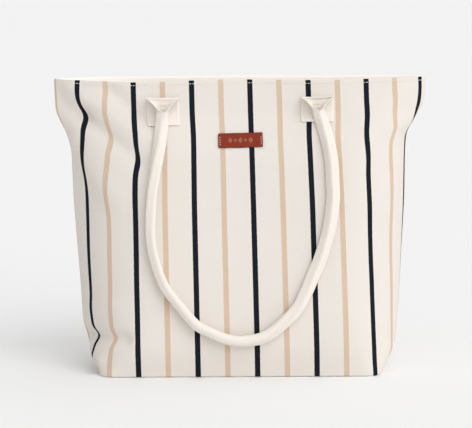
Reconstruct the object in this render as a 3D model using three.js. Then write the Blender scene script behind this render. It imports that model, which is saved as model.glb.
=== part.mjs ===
// Canvas tote bag: a boxed-corner carrier sewn from striped cotton canvas, with two rolled webbing
// handles and a leather label. Millimetres, +Z up, the origin on the floor under the middle of the
// base, the label on the -Y side. The bag is the same on its front and back, apart from the label.
import {
  BoxGeometry,
  BufferGeometry,
  CatmullRomCurve3,
  CubicInterpolant,
  ExtrudeGeometry,
  Float32BufferAttribute,
  Group,
  MathUtils,
  Mesh,
  MeshStandardMaterial,
  Path,
  Shape,
  Vector3,
} from "three";

// Driving dimensions
const HEIGHT = 380;             // floor to rim
const CANVAS = 1.4;             // thickness of the outer canvas and of the facing
const WEBBING = 1.8;            // thickness of the handle webbing
const GAP = 0.3;                // between pieces that touch
const SEAM_GAP = 0.2;           // from the side seam's plane to each panel's edge
const FACING_DEPTH = 38;        // how far the inner facing reaches below the rim
const FACING_INSET = 2.8;       // outer face of the canvas to the outer face of the facing
const FACING_SEAM_GAP = 1.5;    // from the side seam's plane to the facing's edge
const RIM_STITCH_DROP = 3;      // rim to the line of stitches
const THREAD = 0.4;             // how far a line of stitches stands proud
const STITCH_WIDTH = 1;         // width of a line of stitches
const CLOTH_COLUMNS = 28;       // facets from one side seam to the other
const CLOTH_ROWS = 10;          // facets from the floor to the rim

// The girth at a few heights. Going round from the middle of the front, the cloth is flat as far as
// "flat", turns evenly as far as "turned", and then runs straight to the seam at the lean in degrees.
const GIRTH_STATIONS = [
  { z: 0, flat: 163, turned: 190, lean: 90, seam: 248 },
  { z: 60, flat: 125, turned: 235, lean: 84, seam: 248 },
  { z: 150, flat: 110, turned: 247, lean: 80, seam: 248 },
  { z: 220, flat: 112, turned: 247, lean: 72, seam: 248 },
  { z: 290, flat: 115, turned: 243, lean: 58, seam: 244 },
  { z: 335, flat: 118, turned: 247, lean: 44, seam: 248 },
  { z: HEIGHT, flat: 120, turned: 247, lean: 35, seam: 248 },
];

// Handles
const HANDLE_SPREAD = 98.5;     // centre line of the bag to each sewn end
const END_WIDTH = 40;           // a sewn end, which is the full width of the webbing
const END_BOTTOM = 320;
const END_TOP = 356;
const BOX_STITCH_MARGIN = 4;    // edge of a sewn end to its square of stitches
const ROLL_HALF_WIDTH = 8.5;    // the rolled webbing's oval section
const ROLL_HALF_DEPTH = 5;
const COLLAR_HALF_WIDTH = 19;   // where the webbing is still flat, at the hinge
const COLLAR_HALF_DEPTH = 2.4;
const COLLAR_LENGTH = 18;
const HANDLE_STANDOFF = 8.4;    // panel to the rolled webbing's centre line
const COLLAR_STANDOFF = 6;      // panel to the flat webbing's centre line, at the hinge
const HANDLE_STEPS = 32;
const HANDLE_SIDES = 12;
const CORD_START_STEP = 2;      // steps of the handle that its filler cord leaves empty at each end
// Half of the hanging loop, from the sewn end down to its lowest point: across, up.
const HANDLE_ROUTE = [
  [98.5, 355], [99.5, 338], [105, 312], [113, 270], [116.5, 234], [115, 200],
  [109, 166], [97, 133], [81, 101], [60, 69], [33, 50], [0, 44],
];

// Label
const LABEL_WIDTH = 57;
const LABEL_HEIGHT = 18;
const LABEL_THICKNESS = 1.6;
const LABEL_MIDDLE = 301;
const LABEL_CORNER = 1.5;
const LABEL_STITCH_INSET = 3.5; // end of the label to its line of stitches
const LABEL_STITCH_LENGTH = 13;

// Seam allowances, bound with tape inside the bag
const TAPE_THICKNESS = 3;
const TAPE_WIDTH = 8;
const FRONT_TAPE_LENGTH = 300;
const SIDE_TAPE_LENGTH = 100;
const SIDE_SEAM_BOTTOM = 13;
const SIDE_SEAM_TOP = 376;

const CANVAS_LOOK = { color: 0xece7df, roughness: 0.9, metalness: 0 };
const PLAIN_CANVAS_LOOK = { color: 0xefe9e0, roughness: 0.92, metalness: 0 };
const TAPE_LOOK = { color: 0xe9e2d6, roughness: 0.9, metalness: 0 };
const WEBBING_LOOK = { color: 0xf1e7dc, roughness: 0.88, metalness: 0 };
const CORD_LOOK = { color: 0xe6ddcf, roughness: 0.95, metalness: 0 };
const THREAD_LOOK = { color: 0xf4eee4, roughness: 0.7, metalness: 0 };
const LEATHER_LOOK = { color: 0x9a4937, roughness: 0.55, metalness: 0 };

const girthTable = new CubicInterpolant(
  GIRTH_STATIONS.map((station) => station.z),
  GIRTH_STATIONS.flatMap(({ flat, turned, lean, seam }) => [flat, turned, lean, seam]),
  4,
);

// The point of the front half of the bag that is "along" millimetres of cloth from the centre line
// at height z, and "inset" millimetres inside the outer face (outside it when negative).
function clothPoint(along, z, inset) {
  const [flat, turned, lean, seam] = girthTable.evaluate(MathUtils.clamp(z, 0, HEIGHT));
  const seamAngle = MathUtils.degToRad(lean);
  const radius = (turned - flat) / seamAngle;
  const reach = Math.abs(along);
  const angle = MathUtils.clamp((reach - flat) / radius, 0, seamAngle);
  const beyond = Math.max(reach - turned, 0);
  const halfDepth = radius * (1 - Math.cos(seamAngle)) + (seam - turned) * Math.sin(seamAngle);
  const across = Math.min(reach, flat) + radius * Math.sin(angle) + beyond * Math.cos(seamAngle);
  const back = radius * (1 - Math.cos(angle)) + beyond * Math.sin(seamAngle) - halfDepth;
  const x = Math.sign(along) * (across - inset * Math.sin(angle));
  return new Vector3(x, back + inset * Math.cos(angle), z);
}

// How much cloth lies between the centre line and the place where the layer at this inset meets y.
function reachTo(y, z, inset) {
  let low = 0;
  let high = GIRTH_STATIONS[0].seam;
  for (let step = 0; step < 40; step += 1) {
    const middle = (low + high) / 2;
    if (clothPoint(middle, z, inset).y < y) low = middle;
    else high = middle;
  }
  return low;
}

// Moves each vertex of a geometry by a function of its own position.
function reshape(geometry, place) {
  const positions = geometry.getAttribute("position");
  const vertex = new Vector3();
  for (let index = 0; index < positions.count; index += 1) {
    vertex.fromBufferAttribute(positions, index);
    const moved = place(vertex);
    positions.setXYZ(index, moved.x, moved.y, moved.z);
  }
  geometry.computeVertexNormals();
  return geometry;
}

// Lays a flat piece on the outside of the cloth: its x runs along the cloth, its y up, its z outwards.
function layOnCloth(geometry, standoff) {
  return reshape(geometry, ({ x, y, z }) => clothPoint(x, y, -standoff - z));
}

// A layer of cloth from one side seam to the other, mitred where it meets the other half of the bag.
function clothLayer(bottom, top, inset, seamGap, rows) {
  const height = top - bottom;
  const layer = new BoxGeometry(2, height, CANVAS, CLOTH_COLUMNS, rows, 1);
  return reshape(layer, ({ x, y, z }) => {
    const level = y + bottom + height / 2;
    const depth = inset + CANVAS / 2 - z;
    return clothPoint(x * reachTo(-seamGap, level, depth), level, depth);
  });
}

// A closed body through rings of points. With inner rings it is a tube that is open at both ends.
function loft(rings, innerRings = null) {
  const sides = rings[0].length;
  const vertices = [...rings, ...(innerRings ?? [])].flat();
  const faces = [];
  const quad = (a, b, c, d) => faces.push(a, b, c, a, c, d);
  const wall = (start, flip) => {
    for (let ring = 0; ring < rings.length - 1; ring += 1) {
      for (let side = 0; side < sides; side += 1) {
        const next = (side + 1) % sides;
        const low = start + ring * sides;
        const high = low + sides;
        if (flip) quad(low + side, high + side, high + next, low + next);
        else quad(low + side, low + next, high + next, high + side);
      }
    }
  };
  wall(0, false);
  const last = (rings.length - 1) * sides;
  if (innerRings) {
    const inner = rings.length * sides;
    wall(inner, true);
    for (let side = 0; side < sides; side += 1) {
      const next = (side + 1) % sides;
      quad(side, inner + side, inner + next, next);
      quad(last + side, last + next, inner + last + next, inner + last + side);
    }
  } else {
    for (let side = 1; side < sides - 1; side += 1) {
      faces.push(0, side + 1, side);
      faces.push(last, last + side, last + side + 1);
    }
  }
  const geometry = new BufferGeometry();
  geometry.setAttribute("position", new Float32BufferAttribute(vertices.flatMap((v) => v.toArray()), 3));
  geometry.setIndex(faces);
  geometry.computeVertexNormals();
  return geometry;
}

function roundedRectangle(width, height, corner) {
  const shape = new Shape();
  const right = width / 2;
  const top = height / 2;
  shape.moveTo(-right + corner, -top);
  shape.absarc(right - corner, -top + corner, corner, -Math.PI / 2, 0);
  shape.absarc(right - corner, top - corner, corner, 0, Math.PI / 2);
  shape.absarc(-right + corner, top - corner, corner, Math.PI / 2, Math.PI);
  shape.absarc(-right + corner, -top + corner, corner, Math.PI, Math.PI * 1.5);
  return shape;
}

// A piece's name begins with front or back, and its sides are named as seen from the front.
function named(name, geometry, look) {
  const mesh = new Mesh(geometry, new MeshStandardMaterial(look));
  mesh.name = name;
  return mesh;
}

function basePanel() {
  const inset = CANVAS + GAP;
  const reach = reachTo(-SEAM_GAP, 0, inset);
  const ring = (z) => {
    const front = [];
    for (let column = 0; column <= CLOTH_COLUMNS; column += 1) {
      const { x, y } = clothPoint(reach * (2 * column / CLOTH_COLUMNS - 1), 0, inset);
      front.push(new Vector3(x, y, z));
    }
    const back = front.map(({ x, y }) => new Vector3(-x, -y, z));
    return [...front, ...back];
  };
  return named("base_panel", loft([ring(0), ring(CANVAS)]), CANVAS_LOOK);
}

// The bound allowance of a side seam stands inwards as a fin between the two halves of the bag.
function sideSeamTape(name, side) {
  const half = TAPE_THICKNESS / 2;
  const levels = 9;
  const rings = [];
  for (let level = 0; level <= levels; level += 1) {
    const z = MathUtils.lerp(SIDE_SEAM_BOTTOM, SIDE_SEAM_TOP, level / levels);
    const inset = FACING_INSET + CANVAS + GAP;
    const outer = clothPoint(reachTo(-half - GAP, z, inset), z, inset).x - GAP;
    const inner = outer - TAPE_WIDTH;
    const corners = [[inner, -half], [outer, -half], [outer, half], [inner, half]];
    rings.push(corners.map(([x, y]) => new Vector3(x, y, z)));
  }
  const tape = named(name, loft(rings), TAPE_LOOK);
  tape.rotation.z = side < 0 ? Math.PI : 0;
  return tape;
}

function baseSeamTape(name, length, distance, turn) {
  const tape = named(name, new BoxGeometry(length, TAPE_THICKNESS, TAPE_WIDTH), TAPE_LOOK);
  tape.position.set(0, -distance, CANVAS + GAP + TAPE_WIDTH / 2);
  const holder = new Group();
  holder.rotation.z = turn;
  holder.add(tape);
  return holder;
}

function baseSeamTapes() {
  const inwards = CANVAS + GAP + TAPE_THICKNESS / 2;
  const frontDistance = -clothPoint(0, 0, inwards).y;
  const sideDistance = clothPoint(reachTo(-SEAM_GAP, 0, inwards), 0, inwards).x;
  return [
    baseSeamTape("front_base_seam_tape", FRONT_TAPE_LENGTH, frontDistance, 0),
    baseSeamTape("right_base_seam_tape", SIDE_TAPE_LENGTH, sideDistance, Math.PI / 2),
    baseSeamTape("back_base_seam_tape", FRONT_TAPE_LENGTH, frontDistance, Math.PI),
    baseSeamTape("left_base_seam_tape", SIDE_TAPE_LENGTH, sideDistance, -Math.PI / 2),
  ];
}

// The sewn end of a handle: a square of flat webbing.
function handleEnd(name, across) {
  const end = new BoxGeometry(END_WIDTH, END_TOP - END_BOTTOM, WEBBING, 1, 3, 1);
  end.translate(across, (END_TOP + END_BOTTOM) / 2, WEBBING / 2);
  return named(name, layOnCloth(end, GAP), WEBBING_LOOK);
}

// The stitches that hold a sewn end: a square with a cross in it.
function boxStitch(name, across) {
  const halfWidth = END_WIDTH / 2 - BOX_STITCH_MARGIN;
  const halfHeight = (END_TOP - END_BOTTOM) / 2 - BOX_STITCH_MARGIN;
  const innerWidth = halfWidth - STITCH_WIDTH;
  const innerHeight = halfHeight - STITCH_WIDTH;
  const shape = new Shape();
  shape.moveTo(-halfWidth, -halfHeight);
  shape.lineTo(halfWidth, -halfHeight);
  shape.lineTo(halfWidth, halfHeight);
  shape.lineTo(-halfWidth, halfHeight);
  const openings = [
    [[0, STITCH_WIDTH], [innerWidth - STITCH_WIDTH, innerHeight], [STITCH_WIDTH - innerWidth, innerHeight]],
    [[0, -STITCH_WIDTH], [STITCH_WIDTH - innerWidth, -innerHeight], [innerWidth - STITCH_WIDTH, -innerHeight]],
    [[STITCH_WIDTH, 0], [innerWidth, STITCH_WIDTH - innerHeight], [innerWidth, innerHeight - STITCH_WIDTH]],
    [[-STITCH_WIDTH, 0], [-innerWidth, innerHeight - STITCH_WIDTH], [-innerWidth, STITCH_WIDTH - innerHeight]],
  ];
  for (const [start, ...rest] of openings) {
    const opening = new Path();
    opening.moveTo(...start);
    for (const corner of rest) opening.lineTo(...corner);
    shape.holes.push(opening);
  }
  const stitch = new ExtrudeGeometry(shape, { depth: THREAD, bevelEnabled: false });
  stitch.translate(across, (END_TOP + END_BOTTOM) / 2, 0);
  return named(name, layOnCloth(stitch, 2 * GAP + WEBBING), THREAD_LOOK);
}

// Where the rolled webbing runs, from its left end round to its right end, with the way along it,
// the way out of the cloth and the way across it at each step.
function handleFrames() {
  const standoff = (stop) => (stop === 0 ? COLLAR_STANDOFF : HANDLE_STANDOFF);
  const right = HANDLE_ROUTE.map(([x, z], stop) => clothPoint(x, z, -standoff(stop)));
  const left = HANDLE_ROUTE.map(([x, z], stop) => clothPoint(-x, z, -standoff(stop)));
  const route = new CatmullRomCurve3([...left, ...right.reverse().slice(1)], false, "centripetal");
  const length = route.getLength();
  const frames = [];
  for (let step = 0; step <= HANDLE_STEPS; step += 1) {
    const share = step / HANDLE_STEPS;
    const along = route.getTangentAt(share);
    const out = new Vector3(0, -1, 0).addScaledVector(along, along.y).normalize();
    const across = new Vector3().crossVectors(out, along);
    const fromEnd = Math.min(share, 1 - share) * length;
    const rolled = MathUtils.smoothstep(fromEnd, 0, COLLAR_LENGTH);
    frames.push({ place: route.getPointAt(share), out, across, rolled });
  }
  return frames;
}

// An oval ring round the handle, "inset" millimetres inside its outer face.
function handleRing({ place, out, across, rolled }, inset) {
  const halfWidth = MathUtils.lerp(COLLAR_HALF_WIDTH, ROLL_HALF_WIDTH, rolled) - inset;
  const halfDepth = MathUtils.lerp(COLLAR_HALF_DEPTH, ROLL_HALF_DEPTH, rolled) - inset;
  const ring = [];
  for (let side = 0; side < HANDLE_SIDES; side += 1) {
    const angle = side / HANDLE_SIDES * 2 * Math.PI;
    const point = place.clone();
    point.addScaledVector(across, halfWidth * Math.cos(angle));
    point.addScaledVector(out, halfDepth * Math.sin(angle));
    ring.push(point);
  }
  return ring;
}

function handleWebbing(name, frames) {
  const outer = frames.map((frame) => handleRing(frame, 0));
  const inner = frames.map((frame) => handleRing(frame, WEBBING));
  return named(name, loft(outer, inner), WEBBING_LOOK);
}

function handleCord(name, frames) {
  const covered = frames.slice(CORD_START_STEP, frames.length - CORD_START_STEP);
  return named(name, loft(covered.map((frame) => handleRing(frame, WEBBING + GAP))), CORD_LOOK);
}

// The line of stitches that closes the roll, along the middle of its outer face.
function handleSeamStitch(name, frames) {
  const covered = frames.slice(1, -1);
  const half = STITCH_WIDTH / 2;
  const low = ROLL_HALF_DEPTH + GAP;
  const high = low + THREAD;
  const corners = [[-half, low], [half, low], [half, high], [-half, high]];
  const rings = covered.map(({ place, out, across }) => corners.map(
    ([sideways, outwards]) => place.clone().addScaledVector(across, sideways).addScaledVector(out, outwards),
  ));
  return named(name, loft(rings), THREAD_LOOK);
}

function rimStitch(name) {
  const level = HEIGHT - RIM_STITCH_DROP;
  const line = new BoxGeometry(2, STITCH_WIDTH, THREAD, 24, 1, 1);
  const half = reachTo(-SEAM_GAP, level, 0) - 2 * GAP;
  const bent = reshape(line, ({ x, y, z }) => (
    clothPoint(x * half, level + y, -GAP - THREAD / 2 - z)
  ));
  return named(name, bent, THREAD_LOOK);
}

// Everything that the front and the back of the bag both have.
function bagHalf(face) {
  const half = new Group();
  const frames = handleFrames();
  half.add(named(`${face}_panel`, clothLayer(0, HEIGHT, 0, SEAM_GAP, CLOTH_ROWS), CANVAS_LOOK));
  const facing = clothLayer(HEIGHT - FACING_DEPTH, HEIGHT, FACING_INSET, FACING_SEAM_GAP, 1);
  half.add(named(`${face}_facing`, facing, PLAIN_CANVAS_LOOK));
  half.add(rimStitch(`${face}_rim_stitch`));
  for (const side of [-1, 1]) {
    const seenOnLeft = (side < 0) === (face === "front");
    const place = `${face}_${seenOnLeft ? "left" : "right"}`;
    half.add(handleEnd(`${place}_handle_end`, side * HANDLE_SPREAD));
    half.add(boxStitch(`${place}_box_stitch`, side * HANDLE_SPREAD));
  }
  half.add(handleWebbing(`${face}_handle`, frames));
  half.add(handleCord(`${face}_handle_cord`, frames));
  half.add(handleSeamStitch(`${face}_handle_seam_stitch`, frames));
  half.rotation.z = face === "back" ? Math.PI : 0;
  return half;
}

function label() {
  const outline = roundedRectangle(LABEL_WIDTH, LABEL_HEIGHT, LABEL_CORNER);
  const leather = new ExtrudeGeometry(outline, {
    depth: LABEL_THICKNESS, bevelEnabled: false, curveSegments: 3,
  });
  leather.translate(0, LABEL_MIDDLE, 0);
  return named("leather_label", layOnCloth(leather, GAP), LEATHER_LOOK);
}

function labelStitch(name, side) {
  const stitch = new BoxGeometry(STITCH_WIDTH, LABEL_STITCH_LENGTH, THREAD);
  const across = side * (LABEL_WIDTH / 2 - LABEL_STITCH_INSET);
  stitch.translate(across, LABEL_MIDDLE, THREAD / 2);
  return named(name, layOnCloth(stitch, 2 * GAP + LABEL_THICKNESS), THREAD_LOOK);
}

const bag = new Group();
bag.add(bagHalf("front"), bagHalf("back"), basePanel(), ...baseSeamTapes());
bag.add(sideSeamTape("left_side_seam_tape", -1), sideSeamTape("right_side_seam_tape", 1));
bag.add(label(), labelStitch("label_stitch_left", -1), labelStitch("label_stitch_right", 1));

export default bag;
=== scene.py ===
"""The looks of the canvas tote bag: cloth, webbing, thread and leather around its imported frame."""

import math

import bpy
import numpy as np
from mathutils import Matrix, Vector
from mathutils.bvhtree import BVHTree


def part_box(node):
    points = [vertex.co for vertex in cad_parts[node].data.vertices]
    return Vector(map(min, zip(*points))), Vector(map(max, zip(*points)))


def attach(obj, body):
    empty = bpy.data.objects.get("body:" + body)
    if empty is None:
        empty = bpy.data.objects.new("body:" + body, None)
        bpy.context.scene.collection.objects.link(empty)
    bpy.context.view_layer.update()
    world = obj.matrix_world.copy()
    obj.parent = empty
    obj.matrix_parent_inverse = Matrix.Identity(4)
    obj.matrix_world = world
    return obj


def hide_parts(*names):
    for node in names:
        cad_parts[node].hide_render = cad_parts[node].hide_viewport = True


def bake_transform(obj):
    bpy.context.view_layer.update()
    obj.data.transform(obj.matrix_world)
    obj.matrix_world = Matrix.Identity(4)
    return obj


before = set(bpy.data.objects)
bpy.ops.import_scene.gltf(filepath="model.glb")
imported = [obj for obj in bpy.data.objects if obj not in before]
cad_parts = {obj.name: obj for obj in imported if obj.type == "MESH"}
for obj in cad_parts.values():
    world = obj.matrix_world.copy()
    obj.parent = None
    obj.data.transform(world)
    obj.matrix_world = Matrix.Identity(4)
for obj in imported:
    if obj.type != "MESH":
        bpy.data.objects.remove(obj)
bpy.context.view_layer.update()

MM = 0.001
SEED = 7
UP = np.array([0.0, 0.0, 1.0])

# The cloth. u runs round the bag from the middle of a face to the side seam, v up from the base.
HEIGHT = 380 * MM
HALF_WIDTH = 248 * MM
GRID_STEP = 4 * MM
CANVAS = 1.1 * MM
FACING_DEPTH = 38 * MM
FACING_CLOTH = 0.8 * MM
RIM_RADIUS = 1.3 * MM
BASE_RADIUS = 2.4 * MM
RIM_Z = 379 * MM
RIM_EASE = 0.014
BASE_EASE = -0.009
RIM_ROLL = [25, 50, 72]
FACING_ROLL = [165, 140, 115, 92]
BASE_ROLL = [85, 55, 28]
# The two sides, seen from in front, by height in millimetres: how far round the cloth is flat, where it
# has finished turning, its lean at the seam in degrees, and how far round the seam is.
LEFT_GIRTH = np.array([
    [0, 163, 190, 90, 248],
    [18, 140, 212, 87, 248],
    [35, 118, 232, 84, 248],
    [60, 104, 244, 79, 248],
    [95, 108, 245, 79, 248],
    [150, 112, 247, 77, 248],
    [220, 114, 247, 71, 248],
    [285, 117, 244, 66, 245],
    [308, 117, 243, 57, 244],
    [338, 119, 247, 39, 248],
    [380, 122, 247, 36, 248],
])
RIGHT_GIRTH = np.array([
    [0, 163, 190, 90, 248],
    [18, 150, 222, 87, 248],
    [35, 146, 232, 84, 248],
    [60, 138, 236, 82, 248],
    [95, 128, 242, 80, 248],
    [150, 118, 247, 77, 248],
    [220, 126, 247, 75, 248],
    [285, 135, 244, 74, 245],
    [312, 150, 243, 76, 244],
    [334, 152, 247, 58, 248],
    [352, 185, 242, 42, 248],
    [380, 190, 240, 40, 248],
])
GIRTH_BLUR = 6 * MM
GIRTH_BLUR_REACH = 40
GIRTH_RANGE = (-60, 440)

# How the rim hangs, in millimetres: where along the cloth, how wide, how far down.
FRONT_DROOP = [(-130, 66, 3.0), (100, 70, 1.5)]
BACK_DROOP = [(-110, 60, 0.9), (110, 60, 0.6)]
RIM_TILT = 1.4
# How the rim waves forward and back: how far and how long to a radian in millimetres, and its phase.
RIM_WAVES = [(1.6, 34, 0.6), (1.2, 61, 2.0)]
RIM_SHARE = 0.28
# The cloth's own long, shallow waves, in millimetres.
CLOTH_WAVES = 7
CLOTH_WAVE_LENGTH = 150
CLOTH_WAVE_HEIGHT = 1.1

# Stripes
STRIPE_REPEAT = 75.4 * MM
NAVY_AT = 12.5 * MM
TAN_AT = 50.2 * MM
STRIPE_WIDTH = 6.9 * MM
STRIPE_DRIFT = 9 * MM
BACK_SHIFT = 21 * MM

# The seams
BINDING_WIDTH = 8 * MM
BINDING_THICKNESS = 2.6 * MM
STITCH_WIDTH = 0.75 * MM
STITCH_HEIGHT = 0.42 * MM
RIM_STITCH_DROP = 3.2 * MM
BOX_INSET = 3.2 * MM
ROLL_STEP = 0.7 * MM
SIDE_GAP = 3 * MM

# Handles
HANDLE_SPREAD = 98.5 * MM
END_WIDTH = 41 * MM
END_BOTTOMS = {-1: 322.5 * MM, 1: 326.5 * MM}
WEBBING = 1.5 * MM
END_LIFT = 0.25 * MM
END_PUFF = 0.5 * MM
# The handle folds over at the top of its sewn ends.
FOLD_FRONT_Y = -49.6 * MM
HANDLE_START_Z = 355 * MM
# The middle of a hanging handle, across and up in millimetres.
LEFT_ROUTE = [
    (-98.5, 353), (-98.6, 341), (-100, 322), (-103, 302), (-107.5, 277), (-112, 252), (-115, 227),
    (-116, 202), (-115, 177), (-110, 152), (-102.5, 130), (-94, 114), (-78, 94), (-60, 73), (-45.5, 63.5),
]
BOTTOM_ROUTE = [(-14, 50.5), (12, 50), (37, 58.5)]
RIGHT_ROUTE = [
    (68, 86.5), (81, 108), (90, 129), (100, 152), (111, 189), (116.5, 227), (116, 252), (114.5, 277),
    (111.5, 296), (107.5, 313), (103, 328), (99.3, 342), (98.5, 355),
]
HANDLE_STEP = 1.8 * MM
HALF_STEPS = 20
ROLL_LENGTH = 12.5 * MM
CLOTH_GAP = 1.2 * MM
FILLER_INSET = 24
# How far round from the front the handle's seam has turned, in degrees, against its length.
SEAM_TURN = [
    (0, 0), (0.04, 4), (0.12, 40), (0.25, 72), (0.4, 70), (0.5, 40), (0.62, 6),
    (0.75, -8), (0.9, -16), (0.96, -6), (1, 0),
]

# Label
LABEL_WIDTH = 57 * MM
LABEL_HEIGHT = 18 * MM
LABEL_THICKNESS = 1.6 * MM
LABEL_MIDDLE = 303.5 * MM
LABEL_TILT = math.radians(1.2)
LABEL_CORNER = 1.6 * MM
DIAMOND_PITCH = 6.6 * MM
DIAMOND_SIZES = (3.4 * MM, 2.3 * MM)
DIAMOND_SHAPE = 0.8

# Colours and weaves
NAVY = (0.0105, 0.0125, 0.019)
TAN = (0.66, 0.505, 0.385)
CANVAS_COLOUR = (0.79, 0.74, 0.685)
WEBBING_COLOUR = (0.90, 0.835, 0.765)
THREAD_COLOUR = (0.90, 0.86, 0.80)
TAPE_COLOUR = (0.86, 0.80, 0.72)
LEATHER_COLOUR = (0.225, 0.029, 0.0125)
LEATHER_DARK = (0.10, 0.018, 0.011)
FOIL = (0.46, 0.22, 0.11)
FLOOR_COLOUR = (0.93, 0.93, 0.93)
WEAVE_PITCH = 0.9 * MM
WEAVE_DEPTH = 0.06 * MM
STRIPE_WANDER = 0.45 * MM
HERRINGBONE_WIDTH = 5 * MM
RIB_PITCH = 1.5 * MM
RIB_DEPTH = 0.16 * MM
# Painted light: the plain canvas of the facings glows by this much, in place of daylight coming through the
# cloth.
CANVAS_PAINTED_GLOW = 0.36

# Light and camera
STAGE_REACH = 24.0
WALL_GLOW = 0.87
ROOM_LIGHT = 0.74
ROOM_TILT = 0.26
KEY_LIGHT = 1.15
KEY_SIZE = math.radians(50)
KEY_HEIGHT = math.radians(38)
KEY_PLACE = (1.5, -2.4, 2.7)
KEY_TOWARD = (-0.515, 0.857)
CAMERA_DISTANCE = 3.0
CAMERA_AZIMUTH = math.radians(-1.5)
CAMERA_ELEVATION = math.radians(6.7)
CAMERA_TARGET = (-5.2 * MM, -40 * MM, 206 * MM)
CAMERA_FIELD = 606 * MM
SENSOR_WIDTH = 36

rng = np.random.default_rng(SEED)


# ---------------- meshes

def unit(vectors):
    """Vectors made one long."""
    length = np.linalg.norm(vectors, axis=-1, keepdims=True)
    return vectors / np.maximum(length, 1e-12)


def turned(points, face):
    """Front pieces stay; back pieces are the same half of the bag turned about its middle."""
    if face == "front":
        return points
    return points * np.array([-1.0, -1.0, 1.0])


def build(name, vertices, faces, material, uv=None, extra={}, smooth=True):
    """Makes a mesh object. uv holds one pair for each vertex; extra is a named value per vertex."""
    mesh = bpy.data.meshes.new(name)
    mesh.from_pydata([tuple(v) for v in vertices], [], [tuple(int(i) for i in f) for f in faces])
    if uv is not None:
        layer = mesh.uv_layers.new(name="cloth")
        corners = np.array([loop.vertex_index for loop in mesh.loops])
        layer.data.foreach_set("uv", np.asarray(uv, dtype=np.float32)[corners].ravel())
    for key, values in extra.items():
        attribute = mesh.attributes.new(key, "FLOAT", "POINT")
        attribute.data.foreach_set("value", np.asarray(values, dtype=np.float32))
    mesh.polygons.foreach_set("use_smooth", [smooth] * len(mesh.polygons))
    mesh.materials.append(material)
    mesh.update()
    thing = bpy.data.objects.new(name, mesh)
    bpy.context.collection.objects.link(thing)
    return thing


def grid_faces(rows, columns):
    """Faces over a grid of vertices."""
    index = np.arange(rows * columns).reshape(rows, columns)
    corners = index[:-1, :-1], index[:-1, 1:], index[1:, 1:], index[1:, :-1]
    return np.stack([corner.ravel() for corner in corners], axis=1)


def grid_normals(points):
    """The directions out of the cloth over a grid of points."""
    across = np.gradient(points, axis=1)
    up = np.gradient(points, axis=0)
    return unit(np.cross(across, up))


def slab(name, points, thickness, material, uv, extra={}):
    """A closed layer of cloth: points is its outer face, rows by columns; its edges are rounded."""
    rows, columns = points.shape[:2]
    inner = points - grid_normals(points) * thickness
    index = np.arange(rows * columns).reshape(rows, columns)
    loop = np.concatenate([index[0, :-1], index[:-1, -1], index[-1, :0:-1], index[:0:-1, 0]])
    inside = np.clip(np.stack(np.unravel_index(loop, (rows, columns)), 1), 1, [rows - 2, columns - 2])
    flat_outer, flat_inner = points.reshape(-1, 3), inner.reshape(-1, 3)
    away = unit(flat_outer[loop] - points[inside[:, 0], inside[:, 1]])
    edge = (flat_outer[loop] + flat_inner[loop]) / 2 + away * thickness * 0.45
    count = rows * columns
    vertices = np.concatenate([flat_outer, flat_inner, edge])
    outer_faces = grid_faces(rows, columns)
    faces = [outer_faces, outer_faces[:, [0, 3, 2, 1]] + count]
    middle = 2 * count + np.arange(len(loop))
    following, middle_following = np.roll(loop, -1), np.roll(middle, -1)
    faces.append(np.stack([following, loop, middle, middle_following], 1))
    faces.append(np.stack([middle_following, middle, loop + count, following + count], 1))
    flat_uv = np.asarray(uv).reshape(-1, 2)
    full_uv = np.concatenate([flat_uv, flat_uv, flat_uv[loop]])
    values = {key: np.concatenate([v.ravel(), v.ravel(), v.ravel()[loop]]) for key, v in extra.items()}
    return build(name, vertices, np.concatenate(faces), material, full_uv, values)


def swept(name, rings, material, uv):
    """A solid through rings of points, rows by sides, with a flat cap at each end."""
    rows, sides = rings.shape[:2]
    index = np.arange(rows * sides).reshape(rows, sides)
    a, d = index[:-1], index[1:]
    b, c = np.roll(a, -1, axis=1), np.roll(d, -1, axis=1)
    faces = [tuple(f) for f in np.stack([a, b, c, d], -1).reshape(-1, 4)]
    faces.append(tuple(index[0, ::-1]))
    faces.append(tuple(index[-1]))
    return build(name, rings.reshape(-1, 3), faces, material, np.asarray(uv).reshape(-1, 2))


# ---------------- the cloth shell

def girth_at(table, v):
    """A girth table at heights v, blurred so that the outline has no corners."""
    fine = np.arange(GIRTH_RANGE[0], GIRTH_RANGE[1] + 1) * MM
    reach = GIRTH_BLUR_REACH
    kernel = np.exp(-0.5 * (np.arange(-reach, reach + 1) * MM / GIRTH_BLUR) ** 2)
    kernel /= kernel.sum()
    columns = []
    for column in range(1, 5):
        values = np.interp(fine, table[:, 0] * MM, table[:, column])
        smooth = np.convolve(np.pad(values, reach, mode="edge"), kernel, mode="valid")
        columns.append(np.interp(v, fine, smooth))
    flat, done, lean, seam = columns
    return flat * MM, done * MM, np.radians(lean), seam * MM


def side_curve(share, v, table):
    """How far out and how far round one side of a half is, and how deep that half is."""
    flat, done, lean, seam = girth_at(table, v)
    radius = (done - flat) / lean
    reach = np.abs(share) * seam
    angle = np.clip((reach - flat) / radius, 0, lean)
    beyond = np.maximum(reach - done, 0)
    depth = radius * (1 - np.cos(lean)) + (seam - done) * np.sin(lean)
    x = np.minimum(reach, flat) + radius * np.sin(angle) + beyond * np.cos(lean)
    return x, radius * (1 - np.cos(angle)) + beyond * np.sin(lean), depth


def ease(share):
    """0 to 1, starting and stopping gently."""
    share = np.clip(share, 0, 1)
    return share * share * (3 - 2 * share)


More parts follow.
